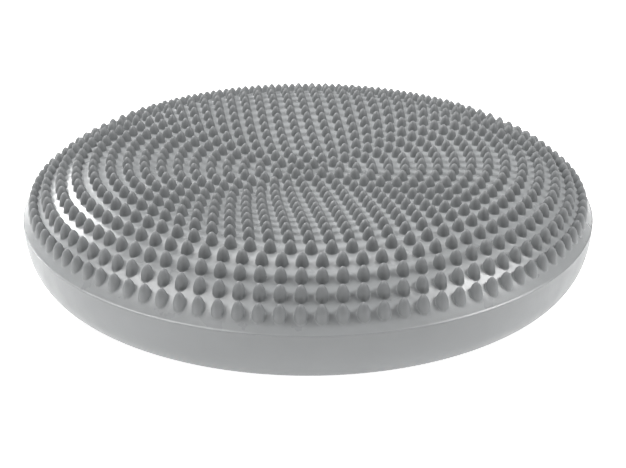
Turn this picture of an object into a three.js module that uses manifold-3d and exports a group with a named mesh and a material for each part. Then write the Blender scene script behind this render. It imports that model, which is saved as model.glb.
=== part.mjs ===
// Balance dome trainer: an inflatable disc of soft PVC to stand, sit or kneel on.
// Two moulded skins are welded together at a crisp edge round the widest circle. The upper skin is
// dished, crowned near its rim and covered with rings of massage spikes; the lower skin is a shallow
// bowl that stands on a flat ring. A small air valve sits in a recess in the rear of the lower skin.
// Millimetres, +Z up, origin on the floor under the centre of the disc, valve towards +Y.

import * as THREE from 'three';
import { mergeVertices } from 'three/addons/utils/BufferGeometryUtils.js';
import Module from 'manifold-3d';

// ---- Driving dimensions ----

const DISC_RADIUS = 165; // centre to the welded edge
const EDGE_HEIGHT = 27; // floor to the welded edge
const WALL = 3; // moulded skin thickness
const WELD_LAND = 5; // flat ring on which the two skins meet
const GAP = 0.3; // between pieces that touch

// Upper skin, heights above the welded edge
const CROWN_RADIUS = 115; // the highest circle
const CROWN_RISE = 22.8;
const CENTRE_RISE = 12; // the middle is dished
const SHOULDER_ROLL = 0.3; // share of the drop outside the crown that comes on early

// Massage spikes
const RING_COUNT = 17;
const RING_PITCH = 9.6; // from ring to ring, measured along the skin
const SPIKE_HEIGHT = 6.3;
const SPIKE_FOOT = 3.15; // radius of a spike where it meets the skin
const SPIKES_PER_STEP = 6; // each plateau ring has this many more than the ring inside it
const FIRST_RING_EXTRA = 1; // added to the first ring and so carried out to the others
const FIRST_SHOULDER_RING = 14; // from here outwards the spikes are spaced evenly at the pitch below
const SHOULDER_PITCH = 9.585;
const SHOULDER_START_DEG = -1.2; // turn of the first spike of a shoulder ring, from -Y towards +X
const SPOKE_DEG = 6.4; // direction in which the plateau rings line up, counted in the same way
const SWIRL_DEG = 53; // how far the innermost ring is turned back from it

// Lower skin
const FOOT_RADIUS = 152; // where the side wall rolls into the flat ring
const WALL_ROUNDNESS = 2.4; // exponent of the side wall's section; 2 is a quarter of an ellipse
const REST_RING_INNER = 96; // inner radius of the flat ring
const BASE_DISH = 5; // how far the middle of the base is lifted off the floor
const MID_DISH = 4; // the same half way to the flat ring

// Air valve, on a level axis through the rear wall
const VALVE_HEIGHT = 15;
const RECESS_RADIUS = 6.2;
const RECESS_FACE = 161; // distance of the recess's flat face from the disc's axis
const BOSS_RADIUS = 8.5;
const BOSS_DEPTH = 8;
const FLANGE_RADIUS = 5.6;
const FLANGE_THICKNESS = 1.2;
const FLANGE_CHAMFER = 0.5;
const BARREL_RADIUS = 4.5;
const BARREL_LENGTH = 13;
const BORE_RADIUS = 3;
const LIP_RADIUS = 1.8;
const LIP_THICKNESS = 1;
const CORE_LENGTH = 4.5;
const NEEDLE_RADIUS = 0.5;
const PLUG_HEAD_RADIUS = 4.2;
const PLUG_HEAD_THICKNESS = 1.1;
const PLUG_HEAD_CHAMFER = 0.55;
const PLUG_STEM_LENGTH = 6.4;
const PLUG_TIP_RADIUS = 1.7;

// Faceting
const RIM_SEGMENTS = 72;
const LINING_SEGMENTS = 36;
const LINING_STEPS = 8;
const LINING_SETBACK = 3.6; // the coarse lining stays this far below the skin, a little over its thickness
const TRAVEL_STEP = 0.05; // in measuring along the skin
const WALL_STEPS = 5;
const VALVE_SEGMENTS = 24;

// ---- Materials ----

const pvc = new THREE.MeshStandardMaterial({ color: 0xa6a8a9, roughness: 0.45, metalness: 0 });
const basePvc = new THREE.MeshStandardMaterial({ color: 0xaeb0b1, roughness: 0.4, metalness: 0 });
const valvePvc = new THREE.MeshStandardMaterial({ color: 0x8f9293, roughness: 0.5, metalness: 0 });
const valveRubber = new THREE.MeshStandardMaterial({ color: 0x3a3b3c, roughness: 0.7, metalness: 0 });
const plugPvc = new THREE.MeshStandardMaterial({ color: 0xc9cbcc, roughness: 0.45, metalness: 0 });

// ---- The skin's outline ----

// Height of the upper skin above the floor at a radius: a dish inside the crown, a rounded
// shoulder outside it that ends in a bevel at the welded edge.
function skinHeight(radius) {
  if (radius < CROWN_RADIUS) {
    const t = radius / CROWN_RADIUS;
    return EDGE_HEIGHT + CENTRE_RISE + (CROWN_RISE - CENTRE_RISE) * t ** 3 * (4 - 3 * t);
  }
  const t = (radius - CROWN_RADIUS) / (DISC_RADIUS - CROWN_RADIUS);
  return EDGE_HEIGHT + CROWN_RISE * (1 - SHOULDER_ROLL * t ** 1.5 - (1 - SHOULDER_ROLL) * t ** 3);
}

// Radius reached after a distance along the skin from the centre.
function radiusAlongSkin(distance) {
  let radius = 0;
  let travelled = 0;
  while (travelled < distance) {
    travelled += Math.hypot(TRAVEL_STEP, skinHeight(radius + TRAVEL_STEP) - skinHeight(radius));
    radius += TRAVEL_STEP;
  }
  return radius;
}

// ---- Mesh building ----

class MeshBuilder {
  constructor() {
    this.positions = [];
    this.triangles = [];
  }

  vertex(x, y, z) {
    this.positions.push(x, y, z);
    return this.positions.length / 3 - 1;
  }

  // A circle of vertices, as a list of { index, turn } in order of their turn about the axis.
  circle(count, radius, height, start = 0) {
    const ring = [];
    for (let i = 0; i < count; i += 1) {
      const turn = start + (i / count) * Math.PI * 2;
      const index = this.vertex(radius * Math.sin(turn), -radius * Math.cos(turn), height);
      ring.push({ index, turn });
    }
    return ring;
  }

  triangle(a, b, c) {
    this.triangles.push(a, b, c);
  }

  // Closes the strip between two circles of any counts. The strip faces up where the first circle
  // is the inner one.
  strip(inner, outer) {
    const shift = Math.round(((inner[0].turn - outer[0].turn) / (Math.PI * 2)) * outer.length);
    const total = inner.length + outer.length;
    const innerAt = (i) => inner[i % inner.length].index;
    const outerAt = (j) => outer[(((j + shift) % outer.length) + outer.length) % outer.length].index;
    const innerTurn = (i) => inner[0].turn + (i / inner.length) * Math.PI * 2;
    const outerTurn = (j) => outer[0].turn + ((j + shift) / outer.length) * Math.PI * 2;
    let i = 0;
    let j = 0;
    while (i + j < total) {
      const outerIsNext = i === inner.length || (j < outer.length && outerTurn(j + 1) < innerTurn(i + 1));
      if (outerIsNext) {
        this.triangle(innerAt(i), outerAt(j), outerAt(j + 1));
        j += 1;
      } else {
        this.triangle(innerAt(i), outerAt(j), innerAt(i + 1));
        i += 1;
      }
    }
  }

  geometry() {
    const geometry = new THREE.BufferGeometry();
    geometry.setAttribute('position', new THREE.Float32BufferAttribute(this.positions, 3));
    geometry.setIndex(this.triangles);
    geometry.computeVertexNormals();
    return geometry;
  }
}

// A closed solid turned about the local Z axis. The outline runs anticlockwise in (radius, height)
// and either closes on itself or starts and ends on the axis.
function turned(outline, segments) {
  const points = outline.map(([radius, height]) => new THREE.Vector2(radius, height));
  const onAxis = points[0].x === 0 && points[points.length - 1].x === 0;
  if (!onAxis) {
    points.push(points[0].clone());
  }
  const geometry = new THREE.LatheGeometry(points, segments);
  geometry.rotateX(Math.PI / 2);
  geometry.rotateZ(-Math.PI / 2);
  return geometry;
}

// ---- Upper skin ----

function spikesInRing(ring) {
  if (ring < FIRST_SHOULDER_RING) {
    return SPIKES_PER_STEP * ring + FIRST_RING_EXTRA;
  }
  return Math.round((Math.PI * 2 * radiusAlongSkin(ring * RING_PITCH)) / SHOULDER_PITCH);
}

// Turn of a ring's first spike from -Y towards +X. The plateau rings line up along a spoke near the
// front, with the inner ones turned back from it; the shoulder rings all start together.
function ringStart(ring) {
  if (ring < FIRST_SHOULDER_RING) {
    return THREE.MathUtils.degToRad(SPOKE_DEG - SWIRL_DEG / ring ** 1.5);
  }
  return THREE.MathUtils.degToRad(SHOULDER_START_DEG);
}

// One ring of spikes, each a four-sided point between an inner and an outer foot circle.
function addSpikeRing(builder, ring) {
  const count = spikesInRing(ring);
  const start = ringStart(ring);
  const halfPitch = Math.PI / count;
  const radius = radiusAlongSkin(ring * RING_PITCH);
  const innerRadius = radiusAlongSkin(ring * RING_PITCH - SPIKE_FOOT);
  const outerRadius = radiusAlongSkin(ring * RING_PITCH + SPIKE_FOOT);
  const innerFeet = builder.circle(count, innerRadius, skinHeight(innerRadius), start + halfPitch);
  const outerFeet = builder.circle(count, outerRadius, skinHeight(outerRadius), start + halfPitch);
  const tips = builder.circle(count, radius, skinHeight(radius) + SPIKE_HEIGHT, start);
  for (let i = 0; i < count; i += 1) {
    const before = (i + count - 1) % count;
    const tip = tips[i].index;
    const corners = [innerFeet[before], outerFeet[before], outerFeet[i], innerFeet[i]];
    corners.forEach((corner, c) => {
      builder.triangle(corner.index, corners[(c + 1) % corners.length].index, tip);
    });
  }
  return { innerFeet, outerFeet };
}

function upperSkinGeometry() {
  const builder = new MeshBuilder();
  const centre = builder.vertex(0, 0, skinHeight(0) + SPIKE_HEIGHT);
  let previous = builder.circle(SPIKES_PER_STEP, SPIKE_FOOT, skinHeight(SPIKE_FOOT), ringStart(1));
  previous.forEach((foot, i) => {
    builder.triangle(centre, foot.index, previous[(i + 1) % previous.length].index);
  });
  for (let ring = 1; ring <= RING_COUNT; ring += 1) {
    const { innerFeet, outerFeet } = addSpikeRing(builder, ring);
    builder.strip(previous, innerFeet);
    previous = outerFeet;
  }

  const weldHeight = EDGE_HEIGHT + GAP / 2;
  const edge = builder.circle(RIM_SEGMENTS, DISC_RADIUS, weldHeight);
  builder.strip(previous, edge);

  // The lining is the inside of the skin, from the weld land in to the centre.
  const landRadius = DISC_RADIUS - WELD_LAND;
  let lining = builder.circle(LINING_SEGMENTS, landRadius, weldHeight);
  builder.strip(edge, lining);
  for (let step = LINING_STEPS; step >= 1; step -= 1) {
    const radius = (landRadius - WALL) * (step / LINING_STEPS);
    const next = builder.circle(LINING_SEGMENTS, radius, skinHeight(radius) - LINING_SETBACK);
    builder.strip(lining, next);
    lining = next;
  }
  const liningCentre = builder.vertex(0, 0, skinHeight(0) - LINING_SETBACK);
  lining.forEach((corner, i) => {
    builder.triangle(corner.index, liningCentre, lining[(i + 1) % lining.length].index);
  });
  return builder.geometry();
}

// ---- Lower skin ----

// The side wall, a squarish quarter ellipse from the flat ring up to the welded edge, set in by an
// offset for the inside of the skin.
function wallOutline(offset) {
  const across = DISC_RADIUS - FOOT_RADIUS - (offset > 0 ? WELD_LAND - WALL : 0);
  const down = EDGE_HEIGHT - offset;
  const power = 2 / WALL_ROUNDNESS;
  const points = [];
  for (let i = 0; i <= WALL_STEPS; i += 1) {
    const angle = (i / WALL_STEPS) * (Math.PI / 2);
    const radius = FOOT_RADIUS - offset + across * Math.sin(angle) ** power;
    points.push([radius, EDGE_HEIGHT - down * Math.max(Math.cos(angle), 0) ** power]);
  }
  points[WALL_STEPS][1] -= GAP / 2;
  return points;
}

// The underside from the axis out to the flat ring, lifted by the skin's thickness for its inside.
function baseOutline(lift) {
  return [
    [0, BASE_DISH + lift],
    [REST_RING_INNER / 2, MID_DISH + lift],
    [REST_RING_INNER, lift],
  ];
}

function lowerSkinOutline() {
  const outside = [...baseOutline(0), ...wallOutline(0)];
  const inside = [...baseOutline(WALL), ...wallOutline(WALL)];
  return [...outside, ...inside.reverse()];
}

// The same outside filled solid, which trims the valve boss to the wall.
function filledOutline() {
  return [...baseOutline(0), ...wallOutline(0), [0, EDGE_HEIGHT - GAP / 2]];
}

// ---- Booleans ----

const wasm = await Module();
wasm.setup();

function toManifold(geometry) {
  const bare = geometry.clone();
  bare.deleteAttribute('normal');
  bare.deleteAttribute('uv');
  const merged = mergeVertices(bare, 1e-4);
  const mesh = new wasm.Mesh({
    numProp: 3,
    vertProperties: new Float32Array(merged.attributes.position.array),
    triVerts: new Uint32Array(merged.index.array),
  });
  return new wasm.Manifold(mesh);
}

function toGeometry(manifold) {
  const mesh = manifold.getMesh();
  const geometry = new THREE.BufferGeometry();
  geometry.setAttribute('position', new THREE.BufferAttribute(mesh.vertProperties, 3));
  geometry.setIndex(new THREE.BufferAttribute(mesh.triVerts, 1));
  geometry.computeVertexNormals();
  return geometry;
}

// A rod on the valve's level axis, between two distances from the disc's axis.
function valveRod(radius, from, to) {
  const rod = new THREE.CylinderGeometry(radius, radius, to - from, VALVE_SEGMENTS);
  rod.translate(0, (from + to) / 2, VALVE_HEIGHT);
  return toManifold(rod);
}

function lowerSkinGeometry() {
  const skin = toManifold(turned(lowerSkinOutline(), RIM_SEGMENTS));
  const filled = toManifold(turned(filledOutline(), RIM_SEGMENTS));
  const past = DISC_RADIUS + 10;
  const boss = valveRod(BOSS_RADIUS, RECESS_FACE - BOSS_DEPTH, past).intersect(filled);
  const recess = valveRod(RECESS_RADIUS, RECESS_FACE, past);
  const hole = valveRod(BARREL_RADIUS + GAP, RECESS_FACE - BARREL_LENGTH, past);
  return toGeometry(skin.add(boss).subtract(recess).subtract(hole));
}

// ---- Valve, each piece turned about its own axis with height 0 on the recess's face ----

function valveHousingOutline() {
  const seat = GAP;
  const innerEnd = seat - BARREL_LENGTH;
  return [
    [LIP_RADIUS, innerEnd],
    [BARREL_RADIUS, innerEnd],
    [BARREL_RADIUS, seat],
    [FLANGE_RADIUS, seat],
    [FLANGE_RADIUS, seat + FLANGE_THICKNESS - FLANGE_CHAMFER],
    [FLANGE_RADIUS - FLANGE_CHAMFER, seat + FLANGE_THICKNESS],
    [BORE_RADIUS, seat + FLANGE_THICKNESS],
    [BORE_RADIUS, innerEnd + LIP_THICKNESS],
    [LIP_RADIUS, innerEnd + LIP_THICKNESS],
  ];
}

function valveCoreOutline() {
  const innerEnd = GAP - BARREL_LENGTH + LIP_THICKNESS + GAP;
  const radius = BORE_RADIUS - GAP;
  return [
    [NEEDLE_RADIUS, innerEnd],
    [radius, innerEnd],
    [radius, innerEnd + CORE_LENGTH],
    [NEEDLE_RADIUS * 2, innerEnd + CORE_LENGTH],
    [NEEDLE_RADIUS, innerEnd + CORE_LENGTH - NEEDLE_RADIUS * 2],
  ];
}

function valvePlugOutline() {
  const underHead = GAP + FLANGE_THICKNESS + GAP;
  const stemRadius = BORE_RADIUS - GAP;
  const stemEnd = underHead - PLUG_STEM_LENGTH;
  return [
    [0, stemEnd],
    [PLUG_TIP_RADIUS, stemEnd],
    [stemRadius, stemEnd + (stemRadius - PLUG_TIP_RADIUS)],
    [stemRadius, underHead],
    [PLUG_HEAD_RADIUS, underHead],
    [PLUG_HEAD_RADIUS, underHead + PLUG_HEAD_THICKNESS - PLUG_HEAD_CHAMFER],
    [PLUG_HEAD_RADIUS - PLUG_HEAD_CHAMFER, underHead + PLUG_HEAD_THICKNESS],
    [0, underHead + PLUG_HEAD_THICKNESS],
  ];
}

// ---- Assembly ----

function piece(name, geometry, material) {
  const mesh = new THREE.Mesh(geometry, material);
  mesh.name = name;
  return mesh;
}

const valve = new THREE.Group();
valve.position.set(0, RECESS_FACE, VALVE_HEIGHT);
valve.rotation.x = -Math.PI / 2;
valve.add(piece('valve_housing', turned(valveHousingOutline(), VALVE_SEGMENTS), valvePvc));
valve.add(piece('valve_core', turned(valveCoreOutline(), VALVE_SEGMENTS), valveRubber));
valve.add(piece('valve_plug', turned(valvePlugOutline(), VALVE_SEGMENTS), plugPvc));

const trainer = new THREE.Group();
trainer.add(piece('upper_skin', upperSkinGeometry(), pvc));
trainer.add(piece('lower_skin', lowerSkinGeometry(), basePvc));
trainer.add(valve);

export default trainer;
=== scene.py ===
"""Balance dome trainer: an inflatable disc of soft moulded PVC with a spiked, dished upper skin.

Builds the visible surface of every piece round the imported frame, then the studio it stands in.
Lengths are in metres, +Z is up, the front of the disc is towards -Y and the valve towards +Y.
"""

import math

import bmesh
import bpy
import numpy as np
from bpy.props import FloatProperty, IntProperty, PointerProperty, StringProperty
from mathutils import Matrix, Vector


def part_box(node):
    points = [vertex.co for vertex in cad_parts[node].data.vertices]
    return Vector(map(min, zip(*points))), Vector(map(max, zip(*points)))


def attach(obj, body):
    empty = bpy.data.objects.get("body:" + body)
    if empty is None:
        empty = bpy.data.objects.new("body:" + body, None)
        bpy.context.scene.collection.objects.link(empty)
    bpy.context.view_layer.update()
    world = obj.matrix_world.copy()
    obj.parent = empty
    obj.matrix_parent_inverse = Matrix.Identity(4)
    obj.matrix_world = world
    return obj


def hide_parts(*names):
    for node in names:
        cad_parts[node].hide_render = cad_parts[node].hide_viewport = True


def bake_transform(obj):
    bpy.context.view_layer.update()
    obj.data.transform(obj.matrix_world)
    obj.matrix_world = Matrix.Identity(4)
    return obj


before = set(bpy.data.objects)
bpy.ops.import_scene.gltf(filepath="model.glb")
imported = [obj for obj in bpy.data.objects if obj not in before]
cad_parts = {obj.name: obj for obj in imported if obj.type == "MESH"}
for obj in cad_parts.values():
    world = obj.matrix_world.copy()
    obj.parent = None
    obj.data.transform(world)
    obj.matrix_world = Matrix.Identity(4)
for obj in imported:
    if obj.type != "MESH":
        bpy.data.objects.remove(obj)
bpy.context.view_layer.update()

bl_info = {
    "name": "Balance dome trainer",
    "version": (1, 0, 0),
    "blender": (4, 5, 0),
    "location": "View3D > Sidebar > Trainer",
    "description": "Builds an inflatable spiked balance disc and its studio",
    "category": "Add Mesh",
}

MM = 0.001
UPPER_LOW, UPPER_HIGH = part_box("upper_skin")
LOWER_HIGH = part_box("lower_skin")[1]
HOUSING_LOW, HOUSING_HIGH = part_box("valve_housing")
CORE_LOW, CORE_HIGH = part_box("valve_core")
PLUG_LOW, PLUG_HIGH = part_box("valve_plug")

DISC_RADIUS = UPPER_HIGH.x
EDGE_HEIGHT = (UPPER_LOW.z + LOWER_HIGH.z) / 2
VALVE_HEIGHT = (HOUSING_LOW.z + HOUSING_HIGH.z) / 2
SEAM = 0.01 * MM  # half the hairline between the two skins at the welded edge
MERGE = 0.002 * MM  # vertices closer than this are one
SKIN_CREASE = math.radians(60)  # an edge that turns more than this is shaded sharp
SPIKE_CREASE = math.radians(100)
VALVE_CREASE = math.radians(40)


# ---- Settings ----


def length(name, description, default):
    """A length that shows in the panel, stored in metres."""
    return FloatProperty(name=name, description=description, default=default, unit="LENGTH", precision=4)


def hex_colour(name, description, default):
    """An sRGB hex colour that shows in the panel."""
    return StringProperty(name=name, description=description, default=default)


def wattage(name, description, default):
    """A lamp's power that shows in the panel."""
    return FloatProperty(name=name, description=description, default=default, unit="POWER")


def angle(name, description, degrees):
    """An angle that shows in the panel, stored in radians."""
    return FloatProperty(name=name, description=description, default=math.radians(degrees), subtype="ANGLE")


class TrainerSkinSettings(bpy.types.PropertyGroup):
    """Outline of the envelope."""

    crown_radius: length("Crown radius", "Radius of the highest circle of the upper skin", 115 * MM)
    crown_rise: length("Crown rise", "Height of the crown above the welded edge", 22.8 * MM)
    centre_rise: length("Centre rise", "Height of the dished middle above the welded edge", 12 * MM)
    wall: length("Wall", "Thickness of the moulded skins", 3 * MM)
    weld_land: length("Weld land", "Width of the flat ring where the skins meet", 5 * MM)
    foot_radius: length("Foot radius", "Where the side wall rolls into the underside", 152 * MM)
    wall_roundness: FloatProperty(
        name="Wall roundness",
        description="Exponent of the side wall's section: 2 is a quarter ellipse",
        default=2.4,
    )
    rest_ring_inner: length("Rest ring", "Inner radius of the flat ring it stands on", 96 * MM)
    base_dish: length("Base dish", "How far the middle of the underside is lifted", 5 * MM)


class TrainerSpikeSettings(bpy.types.PropertyGroup):
    """Massage spikes of the upper skin."""

    rings: IntProperty(name="Rings", description="Rings of spikes round the middle one", default=17, min=1)
    pitch: length("Pitch", "From ring to ring along the skin", 9.6 * MM)
    height: length("Height", "From the skin to a spike's tip", 6.3 * MM)
    foot: length("Foot", "Radius of a spike at its foot", 3.15 * MM)
    fillet: length("Fillet", "Rounding where a spike meets the skin", 0.3 * MM)
    step: IntProperty(
        name="Step", description="Spikes added from each inner ring to the next", default=6, min=1,
    )
    shoulder_ring: IntProperty(name="Shoulder ring", description="First ring on the shoulder", default=14)
    shoulder_pitch: length("Shoulder pitch", "From spike to spike round a shoulder ring", 9.585 * MM)
    shoulder_start: angle("Shoulder start", "Turn of a shoulder ring's first spike from the front", -1.2)
    spoke: angle("Spoke", "Direction in which the inner rings line up, from the front", 6.4)
    swirl: angle("Swirl", "How far the innermost ring is turned back from the spoke", 53)


class TrainerStudSettings(bpy.types.PropertyGroup):
    """Small grip studs of the underside."""

    rings: IntProperty(name="Rings", description="Rings of studs round the middle one", default=13, min=1)
    pitch: length("Pitch", "From ring to ring along the skin", 10 * MM)
    height: length("Height", "How far a stud stands off the skin", 0.8 * MM)
    foot: length("Foot", "Radius of a stud", 2 * MM)


class TrainerColourSettings(bpy.types.PropertyGroup):
    """Colours of the pieces, as sRGB hex values."""

    upper: hex_colour("Upper skin", "Grey of the upper skin", "#9C9E9F")
    # The spikes' grey is the skin's own PVC painted darker, as painted shade on the spikes; their matt finish
    # is their own.
    spikes: hex_colour("Spikes", "Grey of the upper skin's matt spikes", "#7C7E7F")
    # The lower skin's grey is set darker than the upper skin's, as painted shade on the side wall.
    lower: hex_colour("Lower skin", "Grey of the lower skin", "#868889")
    housing: hex_colour("Valve housing", "Grey of the valve's seat", "#8F9293")
    core: hex_colour("Valve core", "Black of the valve's rubber core", "#343536")
    plug: hex_colour("Valve plug", "Pale grey of the pull-out plug", "#C9CBCC")


class TrainerStageSettings(bpy.types.PropertyGroup):
    """Camera, lights and floor."""

    camera_pitch: angle("Camera pitch", "How far the camera looks down", 23.28)
    camera_distance: length("Camera distance", "From the camera to the middle of the welded edge", 606 * MM)
    focal_length: FloatProperty(
        name="Focal length", description="Of the lens, on a 36 mm wide sensor",
        default=58.24, unit="CAMERA",
    )
    shift_across: FloatProperty(name="Shift across", description="Sideways shift of the lens", default=0.008)
    shift_up: FloatProperty(name="Shift up", description="Upward shift of the lens", default=-0.0674)
    side_power: wattage("Side light", "Power of each side softbox", 8.5)
    rear_power: wattage("Rear light", "Power of the rear softbox", 10.0)
    low_power: wattage("Low light", "Power of the low softbox behind, at the left", 11.0)
    ambient: FloatProperty(name="Ambient", description="Strength of the white surroundings", default=0.015)
    floor: hex_colour("Floor", "Colour of the floor", "#F4F4F4")
    floor_glow: FloatProperty(
        name="Floor glow", description="Light the opal floor gives off itself", default=0.85,
    )


# ---- Meshes ----


def object_from_faces(name, points, faces, crease=SKIN_CREASE):
    """A smooth-shaded object whose coinciding vertices are merged into one surface."""
    mesh = bpy.data.meshes.new(name)
    mesh.from_pydata(points, [], faces)
    work = bmesh.new()
    work.from_mesh(mesh)
    bmesh.ops.remove_doubles(work, verts=work.verts, dist=MERGE)
    bmesh.ops.dissolve_degenerate(work, edges=work.edges, dist=MERGE / 10)
    work.to_mesh(mesh)
    work.free()
    mesh.shade_smooth()
    mesh.set_sharp_from_angle(angle=crease)
    made = bpy.data.objects.new(name, mesh)
    bpy.context.scene.collection.objects.link(made)
    return made


class Surface:
    """Points and faces gathered round the disc's axis. A turn is counted from the front towards +X."""

    def __init__(self):
        self.points = []
        self.faces = []

    def add(self, points, faces):
        first = len(self.points)
        self.points.extend(points)
        self.faces.extend(tuple(first + i for i in face) for face in faces)

    def circle(self, radius, height, count, start=0.0):
        """Adds a circle of points and returns their indices with the turn of the first."""
        turns = start + np.arange(count) * 2 * math.pi / count
        first = len(self.points)
        self.points.extend(zip(radius * np.sin(turns), -radius * np.cos(turns), np.full(count, height)))
        return {"first": first, "count": count, "start": start}

    def strip(self, inner, outer):
        """Closes the band between two circles of any counts, facing up where inner is the smaller one."""
        n_in, n_out = inner["count"], outer["count"]
        shift = round((inner["start"] - outer["start"]) / (2 * math.pi) * n_out)
        i = j = 0
        while i + j < n_in + n_out:
            inner_turn = inner["start"] + (i + 1) / n_in * 2 * math.pi
            outer_turn = outer["start"] + (j + 1 + shift) / n_out * 2 * math.pi
            a = inner["first"] + i % n_in
            b = outer["first"] + (j + shift) % n_out
            if i == n_in or (j < n_out and outer_turn < inner_turn):
                self.faces.append((a, b, outer["first"] + (j + 1 + shift) % n_out))
                j += 1
            else:
                self.faces.append((a, b, inner["first"] + (i + 1) % n_in))
                i += 1

    def cap(self, circle, height, facing_up=True):
        """Closes a circle with a fan to a point on the axis."""
        centre = len(self.points)
        self.points.append((0.0, 0.0, height))
        for i in range(circle["count"]):
            a = circle["first"] + i
            b = circle["first"] + (i + 1) % circle["count"]
            self.faces.append((centre, a, b) if facing_up else (centre, b, a))

    def flipped(self):
        """The same surface turned upside down through the floor plane."""
        self.points = [(x, y, -z) for x, y, z in self.points]
        self.faces = [tuple(reversed(face)) for face in self.faces]
        return self


class SkinLine:
    """A skin's height as a function of radius, measured along the skin from its middle."""

    def __init__(self, height, reach):
        self.height = height
        self.radii = np.linspace(0, reach, 4000)
        heights = height(self.radii)
        steps = np.hypot(np.diff(self.radii), np.diff(heights))
        self.travelled = np.concatenate([[0], np.cumsum(steps)])

    def radius_at(self, distance):
        return np.interp(distance, self.travelled, self.radii)


SIDE_STEPS = 4  # edges along each side of a stud's cell
CELL_GAP = 0.35 * MM  # half the plain band between the cells of two rings
STUD_DEPTHS = (0.012, 0.06, 0.15, 0.28, 0.44, 0.62, 0.8, 0.92)  # loops down a stud, as shares of its height
FILLET_TOP = 0.6  # how far above the foot a stud's side gives way to its fillet, in fillets
FILLET_LOOPS = ((0.06, 0.45), (0.4, 0.1), (1.0, 0.0))  # how far out and how far up, in fillets
DEEPEST_FOOT = 2.5  # no foot lies further below its tip than this, in stud heights
HALVINGS = 30  # enough to place a foot exactly


class StudField:
    """Rings of moulded studs, each in a cell of its own, on a skin. The studs point straight up,
    the way the mould draws, so on a slope their feet run further down on the low side."""

    def __init__(self, surface, line, pitch, height, profile, fillet):
        self.surface = surface
        self.line = line
        self.half_depth = pitch / 2 - CELL_GAP
        self.pitch = pitch
        self.height = height
        self.profile = profile
        self.fillet = fillet

    def cell_border(self, distance, half_turn, apron):
        """Radius and turn of the points round a cell, anticlockwise from its outer corner.
        The apron is how much further the cell reaches on its outer side."""
        steps = np.linspace(-1, 1, SIDE_STEPS + 1)[:-1]
        ones = np.ones(SIDE_STEPS)
        across = np.concatenate([ones, -steps, -ones, steps])
        turns = np.concatenate([steps, ones, -steps, -ones]) * half_turn
        reach = across * self.half_depth + np.maximum(across, 0) * apron
        return self.line.radius_at(distance + reach), turns

    def foot_depth(self, axis_radius, tip, radial, sideways):
        """How far below the tip each side of a stud meets the skin, found by halving."""
        low = np.zeros_like(radial)
        high = np.full_like(radial, self.height * DEEPEST_FOOT)
        for _ in range(HALVINGS):
            middle = (low + high) / 2
            reach = self.profile(middle)
            ground = self.line.height(np.hypot(axis_radius + reach * radial, reach * sideways))
            above = tip - middle > ground
            low = np.where(above, middle, low)
            high = np.where(above, high, middle)
        return (low + high) / 2

    def stud_loops(self, axis_radius, border_radius, border_turn):
        """Loops of (radius, turn, height) from just below the tip out to the cell's border."""
        tip = self.line.height(np.array(axis_radius)) + self.height
        radial = border_radius * np.cos(border_turn) - axis_radius
        sideways = border_radius * np.sin(border_turn)
        span = np.hypot(radial, sideways)
        radial, sideways = radial / span, sideways / span
        foot = self.foot_depth(axis_radius, tip, radial, sideways)
        loops = []

        def loop(reach, height=None, above=0.0):
            x = axis_radius + reach * radial
            y = reach * sideways
            radius = np.hypot(x, y)
            if height is None:
                height = self.line.height(radius) + above
            loops.append((radius, np.arctan2(y, x), height))

        for share in STUD_DEPTHS:
            depth = share * (foot - self.fillet * FILLET_TOP)
            loop(self.profile(depth), height=tip - depth)
        for out, up in FILLET_LOOPS:
            loop(self.profile(foot) + self.fillet * out, above=self.fillet * up)
        loops.append((border_radius, border_turn, self.line.height(border_radius)))
        return tip, loops

    def ring(self, index, count, start, apron=0.0):
        """Adds one ring of studs and returns its inner and outer border circles."""
        distance = index * self.pitch
        half_turn = math.pi / count
        axis_radius = float(self.line.radius_at(distance))
        tip, loops = self.stud_loops(axis_radius, *self.cell_border(distance, half_turn, apron))
        sides = 4 * SIDE_STEPS
        faces = [(0, 1 + i, 1 + (i + 1) % sides) for i in range(sides)]
        for k in range(len(loops) - 1):
            a, b = 1 + k * sides, 1 + (k + 1) * sides
            faces.extend((a + i, b + i, b + (i + 1) % sides, a + (i + 1) % sides) for i in range(sides))
        radius = np.concatenate([[axis_radius], *[loop[0] for loop in loops]])
        turn = np.concatenate([[0.0], *[loop[1] for loop in loops]])
        height = np.concatenate([[tip], *[loop[2] for loop in loops]])
        for stud in range(count):
            at = turn + start + stud * 2 * half_turn
            self.surface.add(list(zip(radius * np.sin(at), -radius * np.cos(at), height)), faces)
        borders = []
        for side in (-self.half_depth, self.half_depth + apron):
            border = float(self.line.radius_at(distance + side))
            level = float(self.line.height(np.array(border)))
            borders.append(self.surface.circle(border, level, count * SIDE_STEPS, start - half_turn))
        return borders

    def middle(self, sides):
        """Adds the stud on the axis and returns the circle round it."""
        border = np.full(sides, float(self.line.radius_at(self.half_depth)))
        turns = np.arange(sides) * 2 * math.pi / sides
        tip, loops = self.stud_loops(0.0, border, turns)
        circles = [self.surface.circle(float(r[0]), float(z[0]), sides) for r, _, z in loops]
        self.surface.cap(circles[0], float(tip))
        for inner, outer in zip(circles, circles[1:]):
            self.surface.strip(inner, outer)
        return circles[-1]

    def fill(self, rings, count_of, start_of, last_apron=0.0):
        """Adds every ring from the middle outwards and returns the outermost border circle."""
        previous = self.middle(count_of(1) * SIDE_STEPS)
        for index in range(1, rings + 1):
            apron = last_apron if index == rings else 0.0
            inner, outer = self.ring(index, count_of(index), start_of(index), apron)
            self.surface.strip(previous, inner)
            previous = outer
        return previous


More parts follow.
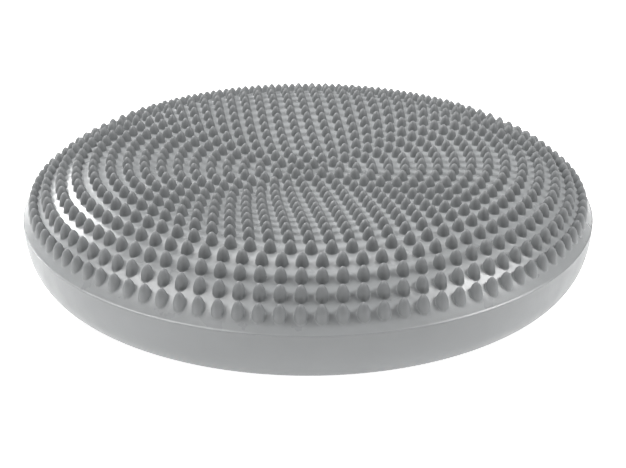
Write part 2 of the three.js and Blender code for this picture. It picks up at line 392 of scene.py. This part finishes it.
def turned_piece(name, outline, segments, centre):
    """A closed piece turned about the valve's level axis. The outline is (radius, distance along +Y)."""
    points = []
    faces = []
    count = len(outline)
    for s in range(segments):
        turn = s / segments * 2 * math.pi
        for radius, along in outline:
            points.append((radius * math.cos(turn), along, radius * math.sin(turn)))
    for s in range(segments):
        a, b = s * count, (s + 1) % segments * count
        for i in range(count):
            j = (i + 1) % count
            if outline[i][0] or outline[j][0]:
                faces.append((a + i, a + j, b + j, b + i))
    return object_from_faces(name, [Vector(p) + Vector(centre) for p in points], faces, VALVE_CREASE)


CORNER_STEPS = 4  # edges round a softened corner
CORNER_SHARE = 0.45  # the most of a side that one softened corner takes


def rounded_outline(corners, radius):
    """The same closed outline with each corner rounded by its own share of the radius, or left sharp."""
    rounded = []
    count = len(corners)
    for i, (x, y, soft) in enumerate(corners):
        here = Vector((x, y))
        if not soft:
            rounded.append((x, y))
            continue
        before = Vector(corners[i - 1][:2])
        after = Vector(corners[(i + 1) % count][:2])
        shorter = min((before - here).length, (after - here).length)
        reach = min(radius * soft, shorter * CORNER_SHARE)
        enter = here + (before - here).normalized() * reach
        leave = here + (after - here).normalized() * reach
        for step in range(CORNER_STEPS + 1):
            t = step / CORNER_STEPS
            point = enter * (1 - t) ** 2 + here * 2 * t * (1 - t) + leave * t * t
            rounded.append((point.x, point.y))
    return rounded


def combine(piece, tool, operation):
    """Joins a tool to a piece or cuts it away, and leaves no modifier behind."""
    change = piece.modifiers.new(operation, "BOOLEAN")
    change.operation = operation
    change.object = tool
    change.solver = "EXACT"
    shape = bpy.data.meshes.new_from_object(piece.evaluated_get(bpy.context.evaluated_depsgraph_get()))
    piece.modifiers.clear()
    piece.data = shape
    bpy.data.objects.remove(tool)


def shade_valve_edges(piece):
    """Smooth shading that keeps the corners left by a join or a cut."""
    piece.data.shade_smooth()
    piece.data.set_sharp_from_angle(angle=VALVE_CREASE)


# ---- Materials ----


def linear(hex_value):
    """An sRGB hex colour as linear RGBA."""
    channels = [int(hex_value[i:i + 2], 16) / 255 for i in (1, 3, 5)]
    return tuple(c / 12.92 if c <= 0.04045 else ((c + 0.055) / 1.055) ** 2.4 for c in channels) + (1.0,)


def per_metre(size_mm):
    """The texture scale that gives a pattern of this size in millimetres."""
    return 1000 / size_mm


def add_node(tree, kind, inputs=None, **settings):
    """Adds a node, sets its properties, and sets or links its inputs."""
    node = tree.nodes.new(kind)
    for name, value in settings.items():
        setattr(node, name, value)
    for name, value in (inputs or {}).items():
        if isinstance(value, bpy.types.NodeSocket):
            tree.links.new(value, node.inputs[name])
        else:
            node.inputs[name].default_value = value
    return node


def mixed_colour(tree, factor, first, second):
    """A mix of two colours, each a plain value or another node's output."""
    mix = add_node(tree, "ShaderNodeMix", {"Factor": factor, 6: first, 7: second}, data_type="RGBA")
    return mix.outputs[2]


def bump(tree, pattern, strength, distance, below=None):
    """Relief from a pattern, over the relief below it where there is one."""
    inputs = {"Height": pattern.outputs["Fac"], "Strength": strength, "Distance": distance}
    if below is not None:
        inputs["Normal"] = below
    return add_node(tree, "ShaderNodeBump", inputs).outputs["Normal"]


PLASTIC_IOR = 1.53  # of PVC, and near enough of rubber
DRIFT_MM = 22  # size of the clouds in the body colour
DRIFT_DEPTH = 0.12  # how much darker than the body colour they get
SHEEN_MM = 9  # size of the patches in the sheen
DULLER, GLOSSIER = 0.05, 0.04  # how far roughness wanders to either side
PEEL_MM = 4  # size of the orange peel
STREAK_MM = 1.1  # height of a drag mark
STREAK_STRETCH = 0.03  # a drag mark's height as a share of its length


def moulded_material(name, colour, roughness, grain_mm, streaks=0.0, spikes=None):
    """Soft plastic or rubber as it leaves a steel mould: one body colour that drifts slightly with the
    filler, a sheen that varies from patch to patch, and a fine grain that breaks up the highlight.
    Streaks are faint level drag marks on an upright wall. Spikes have a roughness of their own and a darker
    grey that is painted shade."""
    material = bpy.data.materials.new(name)
    material.use_nodes = True
    tree = material.node_tree
    tree.nodes.clear()
    place = add_node(tree, "ShaderNodeTexCoord").outputs["Object"]

    # Colour: a cloudy drift between the body colour and a slightly darker one.
    clouds = add_node(
        tree, "ShaderNodeTexNoise", {"Vector": place, "Scale": per_metre(DRIFT_MM), "Detail": 4.0},
    )
    body = linear(colour)
    dark = tuple(c * (1 - DRIFT_DEPTH) for c in body[:3]) + (1.0,)
    tint = mixed_colour(tree, clouds.outputs["Fac"], body, dark)
    # Spikes: the mask mixes in their darker grey, which is painted shade.
    if spikes:
        spike_shade_colour, spike_roughness = spikes
        spike_matt_and_shade_mask = add_node(tree, "ShaderNodeAttribute", attribute_name="spike")
        tint = mixed_colour(tree, spike_matt_and_shade_mask.outputs["Fac"], tint, linear(spike_shade_colour))

    # Sheen: roughness wanders either side of its typical value.
    patches = add_node(
        tree, "ShaderNodeTexNoise", {"Vector": place, "Scale": per_metre(SHEEN_MM), "Detail": 3.0},
    )
    sheen = add_node(
        tree, "ShaderNodeMapRange",
        {"Value": patches.outputs["Fac"], "From Min": 0.3, "From Max": 0.7,
         "To Min": roughness - GLOSSIER, "To Max": roughness + DULLER},
    ).outputs["Result"]
    if spikes:
        sheen = add_node(
            tree, "ShaderNodeMath", {0: spike_matt_and_shade_mask.outputs["Fac"], 1: spike_roughness - roughness, 2: sheen},
            operation="MULTIPLY_ADD",
        ).outputs["Value"]

    # Relief: the mould's grain over a slow orange peel.
    peel = add_node(
        tree, "ShaderNodeTexNoise", {"Vector": place, "Scale": per_metre(PEEL_MM), "Detail": 1.0},
    )
    normal = bump(tree, peel, strength=0.35, distance=0.12 * MM)
    grain = add_node(
        tree, "ShaderNodeTexNoise", {"Vector": place, "Scale": per_metre(grain_mm), "Detail": 2.0},
    )
    normal = bump(tree, grain, strength=0.5, distance=0.05 * MM, below=normal)
    if streaks:
        stretch = (STREAK_STRETCH, STREAK_STRETCH, 1.0)
        squeeze = add_node(tree, "ShaderNodeMapping", {"Vector": place, "Scale": stretch})
        drag = add_node(
            tree, "ShaderNodeTexNoise",
            {"Vector": squeeze.outputs["Vector"], "Scale": per_metre(STREAK_MM), "Detail": 3.0},
        )
        normal = bump(tree, drag, strength=streaks, distance=0.08 * MM, below=normal)

    surface = add_node(
        tree, "ShaderNodeBsdfPrincipled",
        {"Base Color": tint, "Roughness": sheen, "Normal": normal, "IOR": PLASTIC_IOR},
    )
    add_node(tree, "ShaderNodeOutputMaterial", {"Surface": surface.outputs["BSDF"]})
    return material


def light_table_material(name, colour, glow):
    """Opal acrylic sheet lit from below: an even matt white that fills shadows with its own glow."""
    material = bpy.data.materials.new(name)
    material.use_nodes = True
    shader = material.node_tree.nodes["Principled BSDF"]
    shader.inputs["Base Color"].default_value = linear(colour)
    shader.inputs["Roughness"].default_value = 0.6
    shader.inputs["Emission Color"].default_value = (1, 1, 1, 1)
    shader.inputs["Emission Strength"].default_value = glow
    return material


FOOT_BLEND = 0.6 * MM  # height above the skin over which its roughness and grey turn into a spike's duller roughness and darker grey, which is painted shade


def mark_spikes(piece, height):
    """Stores how far each point stands off the skin, as 0 on the skin to 1 on a spike."""
    points = np.empty(len(piece.data.vertices) * 3, np.float32)
    piece.data.vertices.foreach_get("co", points)
    points = points.reshape(-1, 3)
    stand_off = points[:, 2] - height(np.hypot(points[:, 0], points[:, 1]))
    # The mask gives the spikes their duller roughness and their darker grey, which is painted shade.
    spike_matt_and_shade_mask = piece.data.attributes.new("spike", "FLOAT", "POINT")
    spike_matt_and_shade_mask.data.foreach_set("value", np.clip(stand_off / FOOT_BLEND, 0, 1).astype(np.float32))


def finish_piece(piece, material, body, node):
    """Gives a piece its material, hides the part it replaces and, when a body is given, hangs it on that
    body's empty.
    """
    piece.data.materials.clear()
    piece.data.materials.append(material)
    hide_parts(node)
    if body:
        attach(piece, body)


# ---- Upper skin ----


SHOULDER_ROLL = 0.3  # share of the shoulder's fall that comes early
SPIKE_TAPER = 1.7  # 2 is the side of an ellipse, 1 a cone
SPIKE_BLUNTNESS = 0.55  # less is blunter
SPIKE_DRAFT = 0.03  # how much a spike widens below its nominal foot
SWIRL_FADE = 1.5  # how quickly the swirl dies out from ring to ring
SPIKE_APRON = 1.6 * MM  # extra room for the feet of the outermost spikes, which run far down the slope
BEVEL_ROLL = 0.35 * MM  # how far inside the welded edge the bevel ends
EDGE_LOOPS = ((0.1, 0.35), (0.0, 0.2), (0.0, 0.05), (0.06, 0.0))  # inset and rise of the edge, in mm
LINING_SIDES = 96
LINING_STEPS = 8
LINING_DEPTH = 1.2  # how far below the outside the lining lies, in wall thicknesses


def upper_height(skin):
    """Height of the upper skin at a radius: dished inside the crown, rounded outside it."""
    def height(radius):
        t = np.clip(radius / skin.crown_radius, 0, 1)
        dish = skin.centre_rise + (skin.crown_rise - skin.centre_rise) * t ** 3 * (4 - 3 * t)
        t = np.clip((radius - skin.crown_radius) / (DISC_RADIUS - skin.crown_radius), 0, 1)
        shoulder = skin.crown_rise * (1 - SHOULDER_ROLL * t ** 1.5 - (1 - SHOULDER_ROLL) * t ** 3)
        return EDGE_HEIGHT + np.where(radius < skin.crown_radius, dish, shoulder)
    return height


def spike_profile(spikes):
    """Radius of a spike at a depth below its tip: a blunt bullet, a little drafted below its foot."""
    def profile(depth):
        t = np.clip(depth / spikes.height, 0, 1)
        bullet = spikes.foot * (1 - (1 - t) ** SPIKE_TAPER) ** SPIKE_BLUNTNESS
        return bullet + SPIKE_DRAFT * np.maximum(depth - spikes.height, 0)
    return profile


def spikes_in_ring(spikes, line, ring):
    """Inner rings grow by one step each; shoulder rings are spaced evenly at a pitch."""
    if ring < spikes.shoulder_ring:
        return spikes.step * ring + 1
    return round(2 * math.pi * float(line.radius_at(ring * spikes.pitch)) / spikes.shoulder_pitch)


def ring_start(spikes, ring):
    """Turn of a ring's first spike: inner rings swirl back from a spoke, shoulder rings start together."""
    if ring < spikes.shoulder_ring:
        return spikes.spoke - spikes.swirl / ring ** SWIRL_FADE
    return spikes.shoulder_start


class TRAINER_OT_upper_skin(bpy.types.Operator):
    """Build the spiked upper skin"""

    bl_idname = "trainer.upper_skin"
    bl_label = "Upper skin"

    def execute(self, context):
        skin = context.scene.trainer_skin
        spikes = context.scene.trainer_spikes
        height = upper_height(skin)
        line = SkinLine(height, DISC_RADIUS)
        surface = Surface()
        field = StudField(surface, line, spikes.pitch, spikes.height, spike_profile(spikes), spikes.fillet)
        border = field.fill(
            spikes.rings,
            lambda ring: spikes_in_ring(spikes, line, ring),
            lambda ring: ring_start(spikes, ring),
            last_apron=SPIKE_APRON,
        )
        edge = self.add_bevel(surface, border, height)
        self.add_lining(surface, edge, skin, height)
        piece = object_from_faces("upper_skin_spiked", surface.points, surface.faces, SPIKE_CREASE)
        mark_spikes(piece, height)
        colours = context.scene.trainer_colours
        # Soft PVC from a finely grained mould: satin between the spikes, which are duller and painted darker
        # as shade.
        material = moulded_material(
            "Soft PVC, grained mould", colours.upper,
            roughness=0.3, grain_mm=0.5, spikes=(colours.spikes, 0.52),
        )
        finish_piece(piece, material, "top", "upper_skin")
        return {"FINISHED"}

    def add_bevel(self, surface, border, height):
        """The smooth band from the outermost spikes down to the welded edge, whose circle it returns."""
        count = border["count"]
        first = surface.points[border["first"]]
        start_radius = math.hypot(first[0], first[1])
        for t in (0.25, 0.5, 0.75, 1.0):
            radius = start_radius + (DISC_RADIUS - BEVEL_ROLL - start_radius) * t
            ring = surface.circle(radius, float(height(np.array(radius))), count, border["start"])
            surface.strip(border, ring)
            border = ring
        low = EDGE_HEIGHT + SEAM
        for inset, rise in EDGE_LOOPS:
            ring = surface.circle(DISC_RADIUS - inset * MM, low + rise * MM, count, border["start"])
            surface.strip(border, ring)
            border = ring
        return border

    def add_lining(self, surface, edge, skin, height):
        """The flat weld land and the plain inside of the skin."""
        land = DISC_RADIUS - skin.weld_land
        depth = skin.wall * LINING_DEPTH
        border = surface.circle(land, EDGE_HEIGHT + SEAM, LINING_SIDES)
        surface.strip(edge, border)
        for step in range(LINING_STEPS, 0, -1):
            radius = (land - skin.wall) * step / LINING_STEPS
            ring = surface.circle(radius, float(height(np.array(radius))) - depth, LINING_SIDES)
            surface.strip(border, ring)
            border = ring
        surface.cap(border, float(height(np.array(0.0))) - depth, facing_up=False)


# ---- Lower skin ----


STUD_FILLET = 0.25 * MM
STUDS_PER_STEP = 6  # studs added from each ring to the next
FIELD_SLOPE = 3 * MM  # width over which the studded field drops to the plain ring


def base_height(skin, studs):
    """Height of the underside at a radius: a plain ring on the floor, a studded field raised by the
    height of its studs inside that, and a smooth dish in the middle."""
    field_edge = studs.rings * studs.pitch + studs.foot

    def height(radius):
        t = np.clip(radius / skin.rest_ring_inner, 0, 1)
        dish = skin.base_dish * (1 - t * t) ** 2
        t = np.clip((radius - field_edge) / FIELD_SLOPE, 0, 1)
        return dish + studs.height * (1 - t * t * (3 - 2 * t))
    return height


def stud_profile(studs):
    """Radius of a low round stud at a depth below its top: a quarter of an ellipse."""
    def profile(depth):
        t = np.clip(depth / studs.height, 0, 1)
        return studs.foot * np.sqrt(1 - (1 - t) ** 2)
    return profile


class TRAINER_OT_lower_skin(bpy.types.Operator):
    """Build the lower skin with its studded underside and valve recess"""

    bl_idname = "trainer.lower_skin"
    bl_label = "Lower skin"

    RIM_SIDES = 336
    WALL_STEPS = 26
    LINING_STEPS = 8
    MIDDLE_STEPS = 5
    RIM_LOOPS = ((0.12, 0.8), (0.02, 0.25), (0.05, 0.05), (0.15, 0.0))  # inset and drop of the edge, in mm
    RECESS_RADIUS = 6.2 * MM
    RECESS_FACE = 161 * MM
    BOSS_RADIUS = 8.5 * MM
    BOSS_LENGTH = 8 * MM
    HOLE_RADIUS = 4.8 * MM
    HOLE_LENGTH = 14 * MM
    ROD_SIDES = 96

    def execute(self, context):
        skin = context.scene.trainer_skin
        studs = context.scene.trainer_studs
        piece = self.envelope(skin, studs)
        self.cut_recess(piece)
        # Soft PVC from a blasted mould: even satin, with faint level drag marks where it was pulled out. Its
        # grey, darker than the upper skin's, is painted shade.
        material = moulded_material(
            "Soft PVC, blasted mould", context.scene.trainer_colours.lower,
            roughness=0.38, grain_mm=0.6, streaks=0.3,
        )
        finish_piece(piece, material, None, "lower_skin")
        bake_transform(piece)
        return {"FINISHED"}

    def envelope(self, skin, studs):
        """One closed bowl: studded underside, rolled side wall, weld land and plain lining."""
        base = base_height(skin, studs)
        surface = Surface()
        line = SkinLine(lambda radius: -base(radius), skin.foot_radius)
        field = StudField(surface, line, studs.pitch, studs.height, stud_profile(studs), STUD_FILLET)
        field.fill(studs.rings, lambda ring: STUDS_PER_STEP * ring, lambda ring: 0.0)
        surface.flipped()

        border_radius = float(line.radius_at(studs.rings * studs.pitch + field.half_depth))
        border = surface.circle(border_radius, float(base(np.array(border_radius))), self.RIM_SIDES)
        for radius, height in self.wall_section(skin) + self.lining_section(skin, studs, base):
            ring = surface.circle(radius, height, self.RIM_SIDES)
            surface.strip(border, ring)
            border = ring
        surface.cap(border, float(base(np.array(0.0))) + skin.wall)
        return object_from_faces("lower_skin_bowl", surface.points, surface.faces)

    def wall_section(self, skin):
        """Section of the side wall, from the floor up over the welded edge to the weld land."""
        section = []
        across = DISC_RADIUS - skin.foot_radius
        exponent = 2 / skin.wall_roundness
        for i in range(self.WALL_STEPS):
            turn = i / self.WALL_STEPS * math.pi / 2
            radius = skin.foot_radius + across * math.sin(turn) ** exponent
            section.append((radius, EDGE_HEIGHT * (1 - max(math.cos(turn), 0.0) ** exponent)))
        for inset, drop in self.RIM_LOOPS:
            section.append((DISC_RADIUS - inset * MM, EDGE_HEIGHT - SEAM - drop * MM))
        section.append((DISC_RADIUS - skin.weld_land, EDGE_HEIGHT - SEAM))
        return section

    def lining_section(self, skin, studs, base):
        """Section of the plain inside, from the weld land down and in to the middle."""
        section = []
        land = DISC_RADIUS - skin.weld_land
        foot = skin.foot_radius - skin.wall
        for i in range(self.LINING_STEPS - 1, 0, -1):
            turn = i / self.LINING_STEPS * math.pi / 2
            radius = foot + (land - foot) * math.sin(turn)
            section.append((radius, EDGE_HEIGHT - (EDGE_HEIGHT - studs.height - skin.wall) * math.cos(turn)))
        for i in range(self.MIDDLE_STEPS, 0, -1):
            radius = foot * i / self.MIDDLE_STEPS
            section.append((radius, float(base(np.array(radius))) + skin.wall))
        return section

    def rod(self, name, radius, start, end):
        """A plain rod on the valve's axis."""
        outline = [(0.0, start), (radius, start), (radius, end), (0.0, end)]
        return turned_piece(name, outline, self.ROD_SIDES, (0, 0, VALVE_HEIGHT))

    def cut_recess(self, piece):
        """A moulded boss inside the rear wall, with a round recess and a hole for the housing."""
        face = self.RECESS_FACE
        past = DISC_RADIUS + 10 * MM  # well clear of the wall
        combine(piece, self.rod("boss", self.BOSS_RADIUS, face - self.BOSS_LENGTH, face), "UNION")
        combine(piece, self.rod("recess", self.RECESS_RADIUS, face, past), "DIFFERENCE")
        combine(piece, self.rod("hole", self.HOLE_RADIUS, face - self.HOLE_LENGTH, past), "DIFFERENCE")
        shade_valve_edges(piece)


# ---- Valve ----


class TRAINER_OT_valve(bpy.types.Operator):
    """Build the valve's housing, rubber core and pull-out plug"""

    bl_idname = "trainer.valve"
    bl_label = "Valve"

    SIDES = 72
    SOFTENING = 0.4 * MM  # radius that a softened corner has, times its own share
    BORE_RADIUS = 3 * MM
    BARREL_RADIUS = 4.5 * MM
    LIP_RADIUS = 1.8 * MM
    LIP_LENGTH = 1 * MM
    FLANGE_THICKNESS = 1.2 * MM
    NEEDLE_RADIUS = 0.5 * MM
    FUNNEL_DEPTH = 1 * MM
    STEM_CLEARANCE = 0.35 * MM
    STEM_NOSE = 1.7 * MM
    RIDGE_HEIGHT = 0.3 * MM
    RIDGE_START, RIDGE_TOP, RIDGE_END = 1 * MM, 2 * MM, 2.4 * MM  # from the inner end of the stem
    HEAD_THICKNESS = 1.1 * MM
    HEAD_RIM = 0.35 * MM
    HEAD_SLOPE = 0.9 * MM
    BAR_SIZE = (5.2 * MM, 1.4 * MM, 1.5 * MM)
    BAR_ROUNDING = 0.45 * MM

    def execute(self, context):
        colours = context.scene.trainer_colours
        centre = (0, 0, VALVE_HEIGHT)
        housing = turned_piece("valve_housing_seat", self.housing_outline(), self.SIDES, centre)
        # Semi-rigid PVC from a polished mould: smoother and a little glossier than the skin round it.
        material = moulded_material(
            "Semi-rigid PVC, polished mould", colours.housing, roughness=0.34, grain_mm=0.3,
        )
        finish_piece(housing, material, "base", "valve_housing")
        core = turned_piece("valve_core_rubber", self.core_outline(), self.SIDES, centre)
        # Natural rubber from a matt mould: near black, with hardly any highlight.
        material = moulded_material("Natural rubber, matt mould", colours.core, roughness=0.62, grain_mm=0.25)
        finish_piece(core, material, "base", "valve_core")
        # Semi-rigid PVC from a satin mould: the palest piece, with a soft highlight.
        material = moulded_material("Semi-rigid PVC, satin mould", colours.plug, roughness=0.38, grain_mm=0.3)
        finish_piece(self.plug(centre), material, "plug", "valve_plug")
        return {"FINISHED"}

    def housing_outline(self):
        """Barrel with an inner lip and a flange whose rim is rounded."""
        inner, outer = HOUSING_LOW.y, HOUSING_HIGH.y
        flange = (HOUSING_HIGH.x - HOUSING_LOW.x) / 2
        seat = outer - self.FLANGE_THICKNESS
        lip = inner + self.LIP_LENGTH
        corners = [
            (self.LIP_RADIUS, inner, 0.5), (self.BARREL_RADIUS, inner, 1), (self.BARREL_RADIUS, seat, 0),
            (flange, seat, 0), (flange, outer, 1.6), (self.BORE_RADIUS, outer, 1),
            (self.BORE_RADIUS, lip, 0), (self.LIP_RADIUS, lip, 0.5),
        ]
        return rounded_outline(corners, self.SOFTENING)

    def core_outline(self):
        """Rubber bung with a needle hole that opens in a small funnel."""
        inner, outer = CORE_LOW.y, CORE_HIGH.y
        radius = (CORE_HIGH.x - CORE_LOW.x) / 2
        needle = self.NEEDLE_RADIUS
        corners = [
            (needle, inner, 0), (radius, inner, 1), (radius, outer, 1),
            (2 * needle, outer, 1), (needle, outer - self.FUNNEL_DEPTH, 0),
        ]
        return rounded_outline(corners, self.SOFTENING)

    def plug(self, centre):
        """Stem with a snap ridge and a domed head with a raised bar to pull it by."""
        inner, outer = PLUG_LOW.y, PLUG_HIGH.y
        head = (PLUG_HIGH.x - PLUG_LOW.x) / 2
        ridge = self.BORE_RADIUS - self.STEM_CLEARANCE
        stem = ridge - self.RIDGE_HEIGHT
        under = outer - self.HEAD_THICKNESS
        corners = [
            (0.0, inner, 0), (self.STEM_NOSE, inner, 1), (ridge, inner + self.RIDGE_START, 1),
            (ridge, inner + self.RIDGE_TOP, 0), (stem, inner + self.RIDGE_END, 0), (stem, under, 0),
            (head, under, 0.5), (head, outer - self.HEAD_RIM, 1), (head - self.HEAD_SLOPE, outer, 2),
            (0.0, outer, 0),
        ]
        outline = rounded_outline(corners, self.SOFTENING)
        body = turned_piece("valve_plug_stopper", outline, self.SIDES, centre)
        combine(body, self.pull_bar(outer), "UNION")
        shade_valve_edges(body)
        return body

    def pull_bar(self, outer):
        """A level bar with rounded edges, half sunk in the plug's face."""
        bar = bmesh.new()
        bmesh.ops.create_cube(bar, size=1.0)
        bmesh.ops.scale(bar, vec=self.BAR_SIZE, verts=bar.verts)
        bmesh.ops.bevel(
            bar, geom=bar.edges[:], offset=self.BAR_ROUNDING, segments=4, profile=0.5, affect="EDGES",
        )
        bmesh.ops.translate(bar, vec=(0, outer, VALVE_HEIGHT), verts=bar.verts)
        shape = bpy.data.meshes.new("pull_bar")
        bar.to_mesh(shape)
        bar.free()
        made = bpy.data.objects.new("pull_bar", shape)
        bpy.context.scene.collection.objects.link(made)
        return made


# ---- Stage ----


class TRAINER_OT_stage(bpy.types.Operator):
    """Set up the camera, the soft studio lights and the floor"""

    bl_idname = "trainer.stage"
    bl_label = "Stage"

    SENSOR_WIDTH = 36  # mm
    NEAREST = 10 * MM  # what is closer to the camera isn't drawn
    FLOOR_HALF = 6.0  # half the floor's side
    FLOOR_DROP = 0.2 * MM  # keeps the floor clear of the ring that stands on it

    def execute(self, context):
        stage = context.scene.trainer_stage
        self.camera(context, stage)
        self.floor(stage)
        self.softbox(
            "left_softbox", place=(-0.62, -0.17, 0.83), along=(0.47, -0.55, 0.26), size=(0.34, 0.8),
            power=stage.side_power,
        )
        self.softbox(
            "right_softbox", place=(0.74, -0.07, 0.78), along=(-0.24, -0.38, 0.18), size=(0.34, 0.5),
            power=stage.side_power,
        )
        self.softbox(
            "low_softbox", place=(-0.85, 0.85, 0.6), along=(1, 1, 0), size=(0.35, 0.5),
            power=stage.low_power,
        )
        self.softbox(
            "rear_softbox", place=(-0.1, 0.85, 1.3), along=(1, 0, 0), size=(0.6, 1.2),
            power=stage.rear_power,
        )
        context.scene.world = self.surroundings(stage.ambient)
        context.scene.view_settings.view_transform = "Standard"
        return {"FINISHED"}

    def surroundings(self, ambient):
        """A white backdrop to look at, in a studio that is otherwise nearly dark."""
        world = bpy.data.worlds.new("White backdrop")
        world.use_nodes = True
        tree = world.node_tree
        tree.nodes.clear()
        path = add_node(tree, "ShaderNodeLightPath")
        strength = add_node(
            tree, "ShaderNodeMapRange",
            {"Value": path.outputs["Is Camera Ray"], "To Min": ambient, "To Max": 1.0},
        )
        backdrop = add_node(
            tree, "ShaderNodeBackground",
            {"Color": (1, 1, 1, 1), "Strength": strength.outputs["Result"]},
        )
        add_node(tree, "ShaderNodeOutputWorld", {"Surface": backdrop.outputs["Background"]})
        return world

    def camera(self, context, stage):
        """A camera in front of the disc, looking down at it. Pitch is measured from level."""
        data = bpy.data.cameras.new("camera")
        data.lens = stage.focal_length
        data.sensor_width = self.SENSOR_WIDTH
        data.shift_x = stage.shift_across
        data.shift_y = stage.shift_up
        data.clip_start = self.NEAREST
        camera = bpy.data.objects.new("camera", data)
        pitch = stage.camera_pitch
        back = stage.camera_distance
        camera.location = (0, -back * math.cos(pitch), EDGE_HEIGHT + back * math.sin(pitch))
        camera.rotation_euler = (math.pi / 2 - pitch, 0, 0)
        context.scene.collection.objects.link(camera)
        context.scene.camera = camera

    def floor(self, stage):
        """A wide plain floor just under the disc."""
        half = self.FLOOR_HALF
        corners = [(-half, -half, 0), (half, -half, 0), (half, half, 0), (-half, half, 0)]
        floor = object_from_faces("floor", corners, [(0, 1, 2, 3)])
        floor.location.z = -self.FLOOR_DROP
        material = light_table_material("Opal acrylic, lit from below", stage.floor, stage.floor_glow)
        floor.data.materials.append(material)

    def softbox(self, name, place, along, size, power):
        """A rectangular light aimed at the disc, with its longer side laid along a direction."""
        data = bpy.data.lights.new(name, "AREA")
        data.shape = "RECTANGLE"
        data.size, data.size_y = size
        data.energy = power
        light = bpy.data.objects.new(name, data)
        back = (Vector(place) - Vector((0, 0, EDGE_HEIGHT))).normalized()
        along = Vector(along)
        along = (along - along.project(back)).normalized()
        axes = Matrix((along.cross(back), along, back)).transposed()
        light.matrix_world = Matrix.LocRotScale(Vector(place), axes.to_quaternion(), None)
        bpy.context.scene.collection.objects.link(light)


class TRAINER_PT_panel(bpy.types.Panel):
    """The trainer's operators, in the order in which they build it"""

    bl_idname = "TRAINER_PT_panel"
    bl_label = "Balance dome trainer"
    bl_space_type = "VIEW_3D"
    bl_region_type = "UI"
    bl_category = "Trainer"

    def draw(self, context):
        for operator in OPERATORS:
            self.layout.operator(operator.bl_idname)
        for group in GROUPS:
            settings = getattr(context.scene, group)
            for name in settings.__annotations__:
                self.layout.prop(settings, name)


OPERATORS = (TRAINER_OT_stage, TRAINER_OT_upper_skin, TRAINER_OT_lower_skin, TRAINER_OT_valve)
GROUPS = {
    "trainer_skin": TrainerSkinSettings,
    "trainer_spikes": TrainerSpikeSettings,
    "trainer_studs": TrainerStudSettings,
    "trainer_colours": TrainerColourSettings,
    "trainer_stage": TrainerStageSettings,
}


def register():
    for group, settings in GROUPS.items():
        bpy.utils.register_class(settings)
        setattr(bpy.types.Scene, group, PointerProperty(type=settings))
    for operator in OPERATORS:
        bpy.utils.register_class(operator)
    bpy.utils.register_class(TRAINER_PT_panel)


def unregister():
    bpy.utils.unregister_class(TRAINER_PT_panel)
    for operator in reversed(OPERATORS):
        bpy.utils.unregister_class(operator)
    for group, settings in reversed(GROUPS.items()):
        delattr(bpy.types.Scene, group)
        bpy.utils.unregister_class(settings)


def main():
    register()
    bpy.ops.trainer.stage()
    bpy.ops.trainer.upper_skin()
    bpy.ops.trainer.lower_skin()
    bpy.ops.trainer.valve()


if __name__ == "__main__":
    main()
